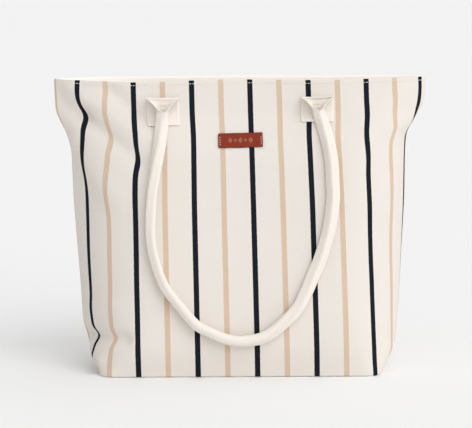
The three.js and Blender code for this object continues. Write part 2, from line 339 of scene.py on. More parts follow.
def shell(share, v, face="front"):
    """The plain outer face of a half of the bag: share runs from seam to seam, -1 to 1."""
    tables = (LEFT_GIRTH, RIGHT_GIRTH) if face == "front" else (RIGHT_GIRTH, LEFT_GIRTH)
    low, high = (side_curve(share, v, table) for table in tables)
    x, rise, depth = np.where(share < 0, low, high)
    x = np.where(share < 0, -x, x)
    towards_seam = ease((np.abs(share) - 0.45) / 0.55)
    depth = depth * towards_seam + np.maximum(low[2], high[2]) * (1 - towards_seam)
    z = BASE_RADIUS + v * (RIM_Z - RIM_RADIUS - BASE_RADIUS) / HEIGHT
    return np.stack([x, rise - depth, z], axis=-1)


def near_line(u, v, start, end, width):
    """1 on the line from start to end, fading out over about width, all in millimetres."""
    a, b = np.array(start) * MM, np.array(end) * MM
    along = b - a
    share = ((u - a[0]) * along[0] + (v - a[1]) * along[1]) / (along @ along)
    share = np.clip(share, 0, 1)
    off_u, off_v = u - a[0] - share * along[0], v - a[1] - share * along[1]
    return np.exp(-(off_u ** 2 + off_v ** 2) / (width * MM) ** 2)


# Folds of the front, in millimetres: from and to (along the cloth, up), width, how far proud of the
# cloth, how far it slides the cloth to the right.
FRONT_FOLDS = [
    ((-246, 356), (-208, 333), 12, -3.0, 2.2),
    ((-208, 333), (-130, 276), 12, -4.4, 2.7),
    ((-222, 372), (-120, 308), 13, 3.0, 0.0),
    ((-168, 370), (-112, 324), 9, -3.2, 0.0),
    ((-226, 296), (-165, 236), 20, 3.6, -2.4),
    ((196, 318), (240, 326), 14, 1.0, 3.5),
    ((160, 280), (196, 312), 14, -2.0, 2.0),
    ((226, 366), (150, 330), 12, 1.4, 0.0),
    ((226, 286), (186, 214), 22, 2.4, -0.8),
    ((-240, 46), (-150, 48), 9, -5.0, 3.0),
    ((-240, 22), (-185, 18), 9, 2.2, -2.4),
    ((-240, 78), (-165, 88), 15, 2.0, 0.2),
    ((240, 40), (190, 44), 10, -1.0, 0.4),
    ((0, 210), (0, 372), 2.5, -0.3, 0.0),
    ((-120, 120), (-40, 60), 30, 1.2, 0.0),
    ((60, 190), (140, 110), 34, -1.0, 0.0),
]
# Folds of the back, written the same way, as seen from behind.
BACK_FOLDS = [
    ((-236, 338), (-140, 262), 14, -5.0, 1.6),
    ((-222, 366), (-125, 302), 13, 2.6, 0.0),
    ((-226, 300), (-168, 232), 20, 2.8, -1.0),
    ((236, 340), (145, 268), 13, -4.6, -1.4),
    ((222, 366), (130, 306), 12, 2.4, 0.0),
    ((226, 296), (176, 226), 20, 2.2, 0.8),
    ((-240, 40), (-180, 44), 12, -3.4, 1.6),
    ((240, 44), (165, 48), 13, -4.0, -1.8),
    ((-60, 230), (60, 170), 36, 1.4, 0.0),
    ((0, 210), (0, 372), 2.5, -0.35, 0.0),
]


def soft_noise(u, v, count, wavelength, generator):
    """A sum of a few long waves in every direction, between about -1 and 1."""
    total = np.zeros_like(u)
    for _ in range(count):
        angle = generator.uniform(0, math.pi)
        scale = 2 * math.pi / (wavelength * MM * generator.uniform(0.7, 1.5))
        phase = generator.uniform(0, 2 * math.pi)
        total += np.sin((u * math.cos(angle) + v * math.sin(angle)) * scale + phase)
    return total / math.sqrt(count)


def folded(face, u, v, low, generator):
    """How far the cloth of a face stands proud of its shell, and how far it slides sideways."""
    proud = CLOTH_WAVE_HEIGHT * MM * soft_noise(u, v, CLOTH_WAVES, CLOTH_WAVE_LENGTH, generator) * low
    slide = np.zeros_like(u)
    for start, end, width, height, sideways in FRONT_FOLDS if face == "front" else BACK_FOLDS:
        near = near_line(u, v, start, end, width)
        proud += near * height * MM
        slide += near * sideways * MM
    spread = HANDLE_SPREAD / MM
    for side in (-1, 1):
        near = near_line(u, v, (side * spread, 322), (side * spread, 350), 22)
        proud += near * 1.2 * MM
    under = np.clip((v - HEIGHT + FACING_DEPTH + 2 * MM) / (4 * MM), 0, 1)
    proud += 0.35 * MM * ease(under)
    return proud, slide


def shaped(face, generator):
    """A half of the bag as it hangs: the shell with its folds, dents and drooping rim."""
    columns = int(round(2 * HALF_WIDTH / GRID_STEP)) + 1
    rows = int(round(HEIGHT / GRID_STEP)) + 1
    share, v = np.meshgrid(np.linspace(-1, 1, columns), np.linspace(0, HEIGHT, rows))
    u = share * HALF_WIDTH
    points = shell(share, v, face)
    normals = grid_normals(points)
    fixed = ease((1 - np.abs(share)) * HALF_WIDTH / (16 * MM))
    low = np.clip(v / (14 * MM), 0, 1)
    proud, slide = folded(face, u, v, low, generator)
    points += normals * (proud * fixed)[..., None]
    points[..., 0] += slide * fixed
    rim = np.clip((v - HEIGHT * (1 - RIM_SHARE)) / (HEIGHT * RIM_SHARE), 0, 1) ** 2
    droop = np.zeros_like(u)
    for middle, width, height in FRONT_DROOP if face == "front" else BACK_DROOP:
        droop += height * np.exp(-((u / MM - middle) / width) ** 2)
    tilt = RIM_TILT * share * (-1 if face == "front" else 1)
    points[..., 2] -= (droop * fixed + tilt) * MM * rim
    wave = sum(height * np.sin(u / MM / length + phase) for height, length, phase in RIM_WAVES)
    points[..., 1] += wave * MM * rim * fixed
    return u, v, points


class Half:
    """The front or the back of the bag: its cloth grid, and where a place on the cloth is."""

    def __init__(self, face, u, v, points):
        self.face = face
        self.u, self.v = u, v
        share = u / HALF_WIDTH
        seam = np.clip(1 - (1 - np.abs(share)) * HALF_WIDTH / (3.4 * MM), 0, 1)
        points = points - grid_normals(points) * (seam ** 2 * 1.3 * MM)[..., None]
        points[..., 1] = np.minimum(points[..., 1], -0.25 * MM)
        self.points = points
        self.normals = grid_normals(points)
        faces = grid_faces(*points.shape[:2])
        self.tree = BVHTree.FromPolygons(points.reshape(-1, 3).tolist(), faces.tolist())

    def sample(self, grid, u, v):
        """The value of a grid at u and v, between its nearest four points."""
        u, v = np.broadcast_arrays(np.asarray(u, float), np.asarray(v, float))
        rows, columns = grid.shape[:2]
        column = np.clip((u + HALF_WIDTH) / (2 * HALF_WIDTH) * (columns - 1), 0, columns - 1.001)
        row = np.clip(v / HEIGHT * (rows - 1), 0, rows - 1.001)
        c, r = column.astype(int), row.astype(int)
        fc, fr = (column - c)[..., None], (row - r)[..., None]
        low = grid[r, c] * (1 - fc) + grid[r, c + 1] * fc
        high = grid[r + 1, c] * (1 - fc) + grid[r + 1, c + 1] * fc
        return low * (1 - fr) + high * fr

    def place(self, u, v, standoff=0.0):
        """The place on the cloth at u and v, moved off it by standoff."""
        return self.sample(self.points, u, v) + self.normal(u, v) * np.asarray(standoff)[..., None]

    def normal(self, u, v):
        """The direction out of the cloth at u and v."""
        return unit(self.sample(self.normals, u, v))

    def depth_at(self, x, z):
        """How far forward the cloth is at x and z."""
        hit = self.tree.ray_cast(Vector((x, -1, z)), Vector((0, 1, 0)))
        return hit[0].y


def pattern(u, v, shift=0.0):
    """Where a place on the cloth is in the stripe pattern, which slants a little across the cloth."""
    eased = u * (1 + BASE_EASE + (RIM_EASE - BASE_EASE) * v / HEIGHT)
    return np.stack([eased - STRIPE_DRIFT * (HEIGHT - v) / HEIGHT - shift, v], axis=-1)


# ---------------- materials

class Nodes:
    """A short way to write the nodes of a material or of the world."""

    def __init__(self, name, kind="materials", shader="Principled BSDF"):
        self.owner = getattr(bpy.data, kind).new(name)
        self.owner.use_nodes = True
        self.tree = self.owner.node_tree
        self.shader = self.tree.nodes[shader]

    def add(self, kind, inputs=None, **settings):
        node = self.tree.nodes.new(kind)
        for key, value in settings.items():
            setattr(node, key, value)
        for key, value in (inputs or {}).items():
            self.join(value, node.inputs[key])
        return node

    def join(self, value, socket):
        if isinstance(value, bpy.types.NodeSocket):
            self.tree.links.new(value, socket)
        elif isinstance(value, (tuple, list)) and socket.type == "RGBA" and len(value) == 3:
            socket.default_value = (*value, 1)
        else:
            socket.default_value = value

    def set(self, name, value):
        """Gives the shader's own socket a colour, a number or another node's output."""
        self.join(value, self.shader.inputs[name])

    def math(self, operation, a, b=0.0, c=0.0, clamp=False):
        node = self.add("ShaderNodeMath", {0: a, 1: b, 2: c}, operation=operation, use_clamp=clamp)
        return node.outputs[0]

    def mix(self, amount, a, b):
        node = self.add("ShaderNodeMix", data_type="RGBA")
        self.join(amount, node.inputs[0])
        self.join(a, node.inputs[6])
        self.join(b, node.inputs[7])
        return node.outputs[2]

    def noise(self, vector, scale, detail, stretch=None):
        """Noise of about 0 to 1; stretch is how much finer it is across the cloth and up it."""
        if stretch:
            vector = self.add("ShaderNodeMapping", {"Vector": vector, "Scale": (*stretch, 0.0)}).outputs[0]
        return self.add("ShaderNodeTexNoise", {
            "Vector": vector, "Scale": scale, "Detail": detail, "Roughness": 0.55,
        }).outputs[0]

    def cloth_uv(self):
        return self.add("ShaderNodeUVMap", uv_map="cloth").outputs[0]

    def bump(self, height, distance):
        node = self.add("ShaderNodeBump", {"Height": height, "Distance": distance, "Strength": 1.0})
        self.set("Normal", node.outputs[0])

    def finish(self, roughness, sheen=0.0, shine=0.06):
        self.set("Roughness", roughness)
        self.set("Sheen Weight", sheen)
        self.set("Sheen Roughness", 0.6)
        self.set("Specular IOR Level", shine)
        return self.owner


def shade(colour, factor):
    """A colour made darker or lighter."""
    return tuple(c * factor for c in colour)


def uneven_threads(nodes, uv, slim, scale, detail):
    """Noise drawn out up the cloth and noise drawn out across it, added up."""
    upright = nodes.noise(uv, scale, detail, (1, slim))
    level = nodes.noise(uv, scale, detail, (slim, 1))
    return nodes.math("ADD", upright, level)


def woven(nodes, uv, pitch):
    """Height of a plain weave of uneven threads."""
    parts = nodes.add("ShaderNodeSeparateXYZ", {0: uv})
    turns = math.pi / pitch
    warp = nodes.math("SINE", nodes.math("MULTIPLY", parts.outputs[0], turns))
    weft = nodes.math("SINE", nodes.math("MULTIPLY", parts.outputs[1], turns))
    cells = nodes.math("MULTIPLY", warp, weft)
    threads = uneven_threads(nodes, uv, 0.06, 900, 2)
    return nodes.math("ADD", nodes.math("MULTIPLY", cells, 0.28), threads)


def cloth_colour(nodes, uv, colour, factor):
    """A cloth colour with faint slubs and broad uneven tone, between itself and a darker one."""
    slubs = uneven_threads(nodes, uv, 0.03, 420, 3)
    tone = nodes.math("ADD", slubs, nodes.noise(uv, 14, 3))
    amount = nodes.math("MULTIPLY_ADD", tone, 0.5, -0.35, clamp=True)
    return nodes.mix(amount, colour, shade(colour, factor))


def stripe_mask(nodes, across, centre):
    """1 inside a stripe of the repeat that is centred there, with soft woven edges."""
    shifted = nodes.math("ADD", across, STRIPE_REPEAT / 2 - centre)
    folded = nodes.math("FLOORED_MODULO", shifted, STRIPE_REPEAT)
    distance = nodes.math("ABSOLUTE", nodes.math("SUBTRACT", folded, STRIPE_REPEAT / 2))
    inside = nodes.math("SUBTRACT", STRIPE_WIDTH / 2, distance)
    return nodes.math("MULTIPLY_ADD", inside, 1 / (0.35 * MM), 0.5, clamp=True)


def striped_canvas():
    """Cream canvas with woven stripes, navy and tan in turn, whose edges wander by a thread."""
    nodes = Nodes("striped_canvas")
    uv = nodes.cloth_uv()
    ground = cloth_colour(nodes, uv, CANVAS_COLOUR, 0.975)
    wander = nodes.noise(uv, 700, 2, (0.5, 1))
    ragged = nodes.math("MULTIPLY_ADD", wander, 2 * STRIPE_WANDER, -STRIPE_WANDER)
    parts = nodes.add("ShaderNodeSeparateXYZ", {0: uv})
    across = nodes.math("ADD", parts.outputs[0], ragged)
    fleck = nodes.noise(uv, 1100, 2, (1, 0.15))
    navy = nodes.mix(fleck, shade(NAVY, 0.8), shade(NAVY, 1.5))
    tan = nodes.mix(fleck, shade(TAN, 0.93), shade(TAN, 1.1))
    colour = nodes.mix(stripe_mask(nodes, across, TAN_AT), ground, tan)
    colour = nodes.mix(stripe_mask(nodes, across, NAVY_AT), colour, navy)
    nodes.set("Base Color", colour)
    nodes.bump(woven(nodes, uv, WEAVE_PITCH), WEAVE_DEPTH)
    return nodes.finish(0.95)


def plain_cloth(name, colour, pitch, depth, painted_glow=0.0):
    """Plain cloth. Its glow is painted light: a fixed emission in the cloth's own colour, standing in for
    daylight that comes through it from its other side.
    """
    nodes = Nodes(name)
    # Painted light: a steady glow in the cloth's own colour, whatever light falls on it.
    nodes.set("Emission Color", colour)
    nodes.set("Emission Strength", painted_glow)
    uv = nodes.cloth_uv()
    nodes.set("Base Color", cloth_colour(nodes, uv, colour, 0.95))
    nodes.bump(woven(nodes, uv, pitch), depth)
    return nodes.finish(0.92, 0.05)


def webbing_material():
    """Cotton webbing: fine ribs in a herringbone across its width, over uneven threads."""
    nodes = Nodes("webbing")
    uv = nodes.cloth_uv()
    parts = nodes.add("ShaderNodeSeparateXYZ", {0: uv})
    nodes.set("Base Color", cloth_colour(nodes, uv, WEBBING_COLOUR, 0.93))
    folded = nodes.math("FLOORED_MODULO", parts.outputs[0], HERRINGBONE_WIDTH)
    slant = nodes.math("ABSOLUTE", nodes.math("SUBTRACT", folded, HERRINGBONE_WIDTH / 2))
    twill = nodes.math("ADD", parts.outputs[1], slant)
    ribs = nodes.math("SINE", nodes.math("MULTIPLY", twill, 2 * math.pi / RIB_PITCH))
    threads = nodes.noise(uv, 1000, 2, (1, 0.1))
    height = nodes.math("MULTIPLY_ADD", ribs, 0.3, threads)
    nodes.bump(height, RIB_DEPTH)
    return nodes.finish(0.9, 0.08)


def thread_material():
    """Cream sewing thread with a fine twist."""
    nodes = Nodes("thread")
    place = nodes.add("ShaderNodeTexCoord").outputs["Object"]
    twist = nodes.noise(place, 2600, 2)
    colour = nodes.mix(twist, shade(THREAD_COLOUR, 0.86), THREAD_COLOUR)
    nodes.set("Base Color", colour)
    nodes.bump(twist, 0.1 * MM)
    return nodes.finish(0.7, 0.1)


def leather_material():
    """Vegetable-tanned leather: fine grain, uneven dye, dark cut edges and pressed marks in pale foil."""
    nodes = Nodes("label_leather")
    place = nodes.add("ShaderNodeTexCoord").outputs["Object"]
    cells = nodes.add("ShaderNodeTexVoronoi", {"Vector": place, "Scale": 1300.0}, feature="F1")
    grain = cells.outputs["Distance"]
    tone = nodes.noise(place, 260, 4)
    fine = nodes.noise(place, 2200, 3)
    dye = nodes.mix(tone, shade(LEATHER_COLOUR, 0.78), shade(LEATHER_COLOUR, 1.3))
    burnished = nodes.add("ShaderNodeAttribute", attribute_name="burnished").outputs["Fac"]
    pressed = nodes.add("ShaderNodeAttribute", attribute_name="pressed").outputs["Fac"]
    worn = nodes.math("MULTIPLY", pressed, nodes.math("MULTIPLY_ADD", fine, 1.2, 0.1, clamp=True))
    colour = nodes.mix(worn, nodes.mix(burnished, dye, LEATHER_DARK), FOIL)
    nodes.set("Base Color", colour)
    nodes.bump(nodes.math("MULTIPLY_ADD", fine, 0.5, grain), 0.12 * MM)
    return nodes.finish(0.5, shine=0.14)


materials = {
    "striped_canvas": striped_canvas(),
    "plain_canvas": plain_cloth("plain_canvas", CANVAS_COLOUR, WEAVE_PITCH, WEAVE_DEPTH, CANVAS_PAINTED_GLOW),
    "seam_tape": plain_cloth("seam_tape", TAPE_COLOUR, 0.6 * MM, 0.1 * MM),
    "webbing": webbing_material(),
    "filler_cord": plain_cloth("filler_cord", TAPE_COLOUR, 1.2 * MM, 0.2 * MM),
    "thread": thread_material(),
    "label_leather": leather_material(),
}


# ---------------- pieces

def stand_for(piece, body, node):
    """Puts a piece on a body, in place of a node of the CAD."""
    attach(piece, body)
    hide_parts(node)


def rolled_edge(edge, normal, radius, angles, upward):
    """Rows that roll an edge of cloth over, at angles in degrees from its outer side."""
    centre = edge - normal * radius
    return [
        centre + radius * (math.cos(angle) * normal + math.sin(angle) * upward)
        for angle in np.radians(angles)
    ]


def panel(half):
    """The striped canvas of one face and half of each side, rolled over at the rim and the base."""
    low = rolled_edge(half.points[0], half.normals[0], BASE_RADIUS, BASE_ROLL, -UP)
    top = rolled_edge(half.points[-1], half.normals[-1], RIM_RADIUS, RIM_ROLL, UP)
    points = np.concatenate([low, half.points, top])
    points[..., 2] = np.maximum(points[..., 2], 0)
    u = np.repeat(half.u[:1], len(points), 0)
    v_low = np.arange(-len(low), 0)[:, None] * ROLL_STEP + 0 * half.u[:1]
    v_top = HEIGHT + np.arange(1, len(top) + 1)[:, None] * ROLL_STEP + 0 * half.u[:1]
    v = np.concatenate([v_low, half.v, v_top])
    shift = 0.0 if half.face == "front" else BACK_SHIFT
    piece = slab(f"{half.face}_panel_cloth", turned(points, half.face), CANVAS,
                 materials["striped_canvas"], pattern(u, v, shift))
    stand_for(piece, "bag", f"{half.face}_panel")


def facing(half):
    """The plain band inside the mouth, which turns over the rim to meet the striped cloth."""
    columns = np.linspace(-HALF_WIDTH + SIDE_GAP, HALF_WIDTH - SIDE_GAP, 125)
    u, v = np.meshgrid(columns, np.linspace(HEIGHT - FACING_DEPTH, HEIGHT, 14))
    loose = 0.5 * MM * np.clip((HEIGHT - 24 * MM - v) / (10 * MM), 0, 1) * (1 + np.sin(u / MM / 17))
    points = half.place(u, v, -(2 * RIM_RADIUS + loose))
    top, normal = half.place(columns, HEIGHT), half.normal(columns, HEIGHT)
    rolled = rolled_edge(top, normal, RIM_RADIUS, FACING_ROLL, UP)
    points = np.concatenate([points, rolled])
    points[..., 1] = np.minimum(points[..., 1], -0.6 * MM)
    v_top = HEIGHT + np.arange(1, len(rolled) + 1)[:, None] * ROLL_STEP + 0 * u[:1]
    v = np.concatenate([v, v_top])
    u = np.repeat(columns[None], len(v), 0)
    piece = slab(f"{half.face}_facing_cloth", turned(points[:, ::-1], half.face), FACING_CLOTH,
                 materials["plain_canvas"], np.stack([u, v], -1)[:, ::-1])
    stand_for(piece, "bag", f"{half.face}_facing")


def distances(points):
    """How far along a line of points each one is."""
    return np.concatenate([[0], np.cumsum(np.linalg.norm(np.diff(points, axis=0), axis=1))])


def values_at(at, travelled, values):
    """Rows of values at some way along a line, between the rows that are known."""
    return np.stack([np.interp(at, travelled, column) for column in values.T], -1)


def stitch_mesh(runs):
    """Vertices and faces of many separate stitches, each given by its start, end and normal."""
    shares = [0.0, 0.12, 0.5, 0.88, 1.0]
    sizes = [0.25, 0.8, 1.0, 0.8, 0.25]
    lifts = [-0.4, 0.35, 0.6, 0.35, -0.4]
    sides = 6
    vertices, faces = [], []
    for start, end, normal in runs:
        across = unit(np.cross(end - start, normal))
        first = len(vertices)
        for share, size, lift in zip(shares, sizes, lifts):
            middle = start + (end - start) * share + normal * STITCH_HEIGHT * lift
            for angle in np.arange(sides) / sides * 2 * math.pi:
                vertices.append(middle + across * math.cos(angle) * STITCH_WIDTH / 2 * size
                                + normal * math.sin(angle) * STITCH_HEIGHT * 0.8 * size)
        index = np.arange(first, len(vertices)).reshape(-1, sides)
        following = np.roll(index, -1, axis=1)
        quads = np.stack([index[:-1], index[1:], following[1:], following[:-1]], -1)
        faces += [*quads.reshape(-1, 4), index[0], index[-1, ::-1]]
    return np.array(vertices), faces


def stitches_along(points, normals, length=2.7 * MM, gap=0.9 * MM):
    """Splits a line on the cloth into stitches."""
    travelled = distances(points)
    runs = []
    for number in range(int(travelled[-1] // (length + gap))):
        begin = number * (length + gap) + gap / 2
        start, end = values_at([begin, begin + length], travelled, points)
        runs.append((start, end, unit(values_at(begin + length / 2, travelled, normals))))
    return runs


def thread_piece(name, runs, face, body, node):
    """One piece of many stitches."""
    vertices, faces = stitch_mesh(runs)
    piece = build(name, turned(vertices, face), faces, materials["thread"])
    stand_for(piece, body, node)


def rim_stitch(half):
    """The line of stitches just under the rim."""
    u = np.linspace(-HALF_WIDTH + SIDE_GAP, HALF_WIDTH - SIDE_GAP, 400)
    v = HEIGHT - RIM_STITCH_DROP
    runs = stitches_along(half.place(u, v, 0.1 * MM), half.normal(u, v))
    thread_piece(f"{half.face}_rim_stitches", runs, half.face, "bag", f"{half.face}_rim_stitch")


def side_name(half, side):
    """What the CAD calls a side of a face, seen from in front of the bag."""
    on_left = (side < 0) == (half.face == "front")
    return f"{half.face}_{'left' if on_left else 'right'}"


def end_lift(u):
    """How far the middle of a sewn end puffs out, from its edges at half its width."""
    return END_PUFF * np.clip(1 - (np.abs(u) / (END_WIDTH / 2)) ** 4, 0, 1)


def on_end(half, side, u, v):
    """The outer face of a sewn end, u across from its middle."""
    return half.place(u + side * HANDLE_SPREAD, v, END_LIFT + WEBBING + end_lift(u))


def handle_end(half, side):
    """The square of webbing that is sewn to the cloth."""
    u, v = np.meshgrid(np.linspace(-END_WIDTH / 2, END_WIDTH / 2, 23),
                       np.linspace(END_BOTTOMS[side], HANDLE_START_Z, 17))
    name = side_name(half, side)
    piece = slab(f"{name}_end_webbing", turned(on_end(half, side, u, v), half.face), WEBBING,
                 materials["webbing"], np.stack([u, v], -1))
    stand_for(piece, "bag", f"{name}_handle_end")


def box_stitch(half, side):
    """The square of stitches with a cross in it that holds a sewn end."""
    half_width = END_WIDTH / 2 - BOX_INSET
    bottom, top = END_BOTTOMS[side] + BOX_INSET, HANDLE_START_Z - 3 * MM
    corners = [(-half_width, bottom), (half_width, bottom), (half_width, top), (-half_width, top)]
    lines = list(zip(corners, corners[1:] + corners[:1]))
    lines += [(corners[0], corners[2]), (corners[1], corners[3])]
    runs = []
    for start, end in lines:
        u, v = np.linspace(start, end, 24).T
        normals = half.normal(u + side * HANDLE_SPREAD, v)
        runs += stitches_along(on_end(half, side, u, v), normals, 2.4 * MM, 0.8 * MM)
    name = side_name(half, side)
    thread_piece(f"{name}_box_stitches", runs, half.face, "bag", f"{name}_box_stitch")


def smooth_route(points, step):
    """A smooth curve through points, sampled evenly."""
    points = np.asarray(points, float)
    padded = np.concatenate([[2 * points[0] - points[1]], points, [2 * points[-1] - points[-2]]])
    fine = []
    for k in range(1, len(padded) - 2):
        p0, p1, p2, p3 = padded[k - 1:k + 3]
        t = np.linspace(0, 1, 40, endpoint=False)[:, None]
        fine.append(0.5 * (2 * p1 + (p2 - p0) * t + (2 * p0 - 5 * p1 + 4 * p2 - p3) * t ** 2
                           + (3 * p1 - p0 - 3 * p2 + p3) * t ** 3))
    fine = np.concatenate([*fine, points[-1:]])
    travelled = distances(fine)
    at = np.linspace(0, travelled[-1], round(travelled[-1] / step) + 1)
    return values_at(at, travelled, fine), at


def blur(values, width):
    """Values averaged over width neighbours on each side."""
    kernel = np.hanning(2 * width + 3)[1:-1]
    kernel /= kernel.sum()
    return np.convolve(np.pad(values, width, mode="edge"), kernel, mode="valid")


def rolled_section(progress, bend, ridge):
    """The webbing's middle line across its width: flat at progress 0, a closed tube at 1.

    bend is the share of the half width that turns; the rest stays straight, and the two straight
    parts meet at the seam in a ridge.
    """
    w = np.linspace(-1, 1, 2 * HALF_STEPS + 1)
    full = math.pi - ridge
    middle = (bend - 2 * bend * math.sin(full) / full - (1 - bend) * math.cos(full)) / (1 - math.cos(full))
    share = np.clip((np.abs(w) - middle + bend) / (2 * bend), 0, 1)
    angle = np.sign(w) * full * share * progress
    step = END_WIDTH / 2 / HALF_STEPS
    between = (angle[1:] + angle[:-1]) / 2
    x = np.concatenate([[0], np.cumsum(np.cos(between))]) * step
    y = np.concatenate([[0], np.cumsum(np.sin(between))]) * step
    x -= x[HALF_STEPS]
    y -= y[HALF_STEPS]
    normal = np.stack([np.sin(angle), -np.cos(angle)], 1)
    half_depth = (y.max() - y.min()) / 2
    return w * END_WIDTH / 2, np.stack([x, y - y.min() - half_depth], 1), normal


def closing(share, bend, ridge):
    """How far the webbing is rolled where its edges have come that share of the way together."""
    rolls = np.linspace(0, 1, 40)
    edges = np.array([rolled_section(roll, bend, ridge)[1][-1, 0] for roll in rolls])
    return float(np.interp(share, 1 - edges / edges[0], rolls))


class Strap:
    """The run of one handle: at each step its middle, its directions and how far it is rolled."""

    def __init__(self, half):
        route = [(x * MM, z * MM) for x, z in LEFT_ROUTE + BOTTOM_ROUTE + RIGHT_ROUTE]
        route, self.at = smooth_route(route, HANDLE_STEP)
        length = self.at[-1]
        from_end = np.minimum(self.at, length - self.at)
        self.roll_up(route, from_end)
        shares, degrees = zip(*SEAM_TURN)
        self.turn = np.radians(blur(np.interp(self.at / length, shares, degrees), 10))
        self.turn *= ease(from_end / (24 * MM))
        self.points = np.stack([route[:, 0], self.lie(half, route, from_end), route[:, 1]], 1)
        along = unit(np.gradient(self.points, axis=0))
        self.out = unit(np.array([0.0, -1.0, 0.0]) + along * along[:, 1:2])
        self.across = np.cross(self.out, along)

    def roll_up(self, route, from_end):
        """Rolls the webbing: open at its ends, closed and tight beyond them, softer at the bottom."""
        tight = ease((from_end - 4 * MM) / (34 * MM))
        low = 1 - ease((route[:, 1] - 50 * MM) / (110 * MM))
        bend = 0.34 - 0.17 * tight + 0.16 * low
        ridge = 0.3 + 0.32 * tight - 0.2 * low
        together = np.clip(from_end / ROLL_LENGTH, 0, 1) ** 1.35
        self.progress = np.array([closing(*values) for values in zip(together, bend, ridge)])
        self.sections = [rolled_section(*values) for values in zip(self.progress, bend, ridge)]

    def lie(self, half, route, from_end):
        """How far forward the webbing is: it comes off the folds and lies against the cloth."""
        thick = np.array([self.reach(k) for k in range(len(route))])
        cloth = np.array([
            min(half.depth_at(x + across, z) for across in (-7 * MM, 0, 7 * MM)) for x, z in route
        ])
        cloth = blur(np.minimum(cloth, blur(cloth, 12)), 6)
        resting = cloth - blur(thick, 3) - WEBBING / 2 - CLOTH_GAP
        start = FOLD_FRONT_Y - thick + thick[0]
        pull = ease(from_end / (36 * MM))
        y = start * (1 - pull) + np.minimum(resting, start) * pull
        return blur(y, 4) * pull + y * (1 - pull)

    def reach(self, k):
        """How far the rolled webbing reaches from its middle towards the cloth."""
        return -self.rotated(self.sections[k][1], k)[:, 1].min()

    def rotated(self, pairs, k):
        """Pairs across and out of the handle, turned as its seam is at step k."""
        c, s = math.cos(self.turn[k]), math.sin(self.turn[k])
        return pairs @ np.array([[c, s], [-s, c]])

    def in_space(self, pairs, k):
        """Pairs across and out of the handle at step k, as directions in space."""
        flat = self.rotated(pairs, k)
        return flat[:, :1] * self.across[k] + flat[:, 1:] * self.out[k]

    def tube_side(self, k):
        """The direction out of the tube at each point of the line at step k."""
        return self.in_space(self.sections[k][2], k)

    def line(self, k, away=0.0):
        """The webbing's line across its width at step k, moved out of the tube by away."""
        _, section, normal = self.sections[k]
        return self.points[k] + self.in_space(section + normal * away, k)


def end_rows(half, side, strap):
    """The webbing's middle line, its tube side and how full its thickness is, row by row, from inside
    a sewn end up and over its top."""
    u = strap.sections[0][0]
    across = u + side * HANDLE_SPREAD
    lift = END_LIFT + WEBBING / 2 + end_lift(u)
    rows = []
    for drop, fullness in ((6 * MM, 0.5), (3 * MM, 0.75), (0, 1.0)):
        height = HANDLE_START_Z - drop
        rows.append((half.place(across, height, lift), half.normal(across, height), fullness))
    start = rows[-1][0]
    end = strap.line(0 if side < 0 else -1)[::-side]
    level = 1 - UP
    reach = (start - end) / 2 * level
    radius = np.linalg.norm(reach, axis=1, keepdims=True)
    for share in np.linspace(0, 1, 13)[1:-1]:
        angle = math.pi * share
        middle = (start + end) / 2 * level + (start + (end - start) * share) * UP
        outward = reach * math.cos(angle) + radius * UP * math.sin(angle)
        rows.append((middle + outward, -unit(outward), 1.0))
    return rows


def handle(half, strap):
    """One length of webbing: sewn flat, folded over the top of its end, rolled, and back again."""
    lines = end_rows(half, -1, strap)
    lines += [(strap.line(k), strap.tube_side(k), 1.0) for k in range(len(strap.at))]
    for middle, normal, size in reversed(end_rows(half, 1, strap)):
        lines.append((middle[::-1], normal[::-1], size))
    w = strap.sections[0][0]
    both = np.concatenate([w, w[::-1]])
    rings, uvs, travelled = [], [], 0.0
    previous = lines[0][0][HALF_STEPS]
    for middle, normal, size in lines:
        away = normal * WEBBING / 2 * size
        rings.append(np.concatenate([middle + away, (middle - away)[::-1]]))
        travelled += np.linalg.norm(middle[HALF_STEPS] - previous)
        previous = middle[HALF_STEPS]
        uvs.append(np.stack([both, np.full(len(both), travelled)], 1))
    name = f"{half.face}_handle"
    piece = swept(f"{name}_webbing", turned(np.array(rings), half.face), materials["webbing"], np.array(uvs))
    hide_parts(name)
    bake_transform(piece)


def seam_stitches(half, strap):
    """The stitches along the seam of the handle, wherever its webbing is closed."""
    steps = [k for k in range(len(strap.at)) if strap.progress[k] > 0.995]
    outside = np.array([strap.line(k, WEBBING / 2 + 0.1 * MM)[-3] for k in steps])
    inside = np.array([strap.line(k)[-3] for k in steps])
    runs = stitches_along(outside, unit(outside - inside), 3.0 * MM, 1.0 * MM)
    name = f"{half.face}_handle"
    thread_piece(f"{name}_seam_stitches", runs, half.face, name, f"{name}_seam_stitch")


def filler(half, strap):
    """The soft cord inside the rolled webbing, which stops short of both folds."""
    angles = np.linspace(0, 2 * math.pi, 14, endpoint=False)
    circle = np.stack([np.cos(angles) * 4.2 * MM, np.sin(angles) * 2.2 * MM - 0.8 * MM], 1)
    steps = range(FILLER_INSET, len(strap.at) - FILLER_INSET)
    rings = np.array([strap.points[k] + strap.in_space(circle, k) for k in steps])
    travelled = strap.at[FILLER_INSET:-FILLER_INSET, None]
    uv = np.stack(np.broadcast_arrays(angles * 3 * MM, travelled), -1)
    name = f"{half.face}_handle"
    piece = swept(f"{name}_filler", turned(rings, half.face), materials["filler_cord"], uv)
    stand_for(piece, name, f"{name}_cord")


def base():
    """The bottom of the bag, with the stripes running across it."""
    inset = BASE_RADIUS + 0.3 * MM
    share = np.linspace(-0.999, 0.999, 81)
    ring = shell(share, np.zeros_like(share))
    normal = unit(np.stack([np.gradient(ring[:, 1]), -np.gradient(ring[:, 0])], 1))
    front = ring[:, :2] - normal * inset
    points = np.array([
        np.stack([front[:, 0], front[:, 1] * k, np.full(len(front), CANVAS)], 1)
        for k in np.linspace(1, -1, 21)
    ])
    piece = slab("base_panel_cloth", points, CANVAS, materials["striped_canvas"], points[..., :2])
    stand_for(piece, "bag", "base_panel")


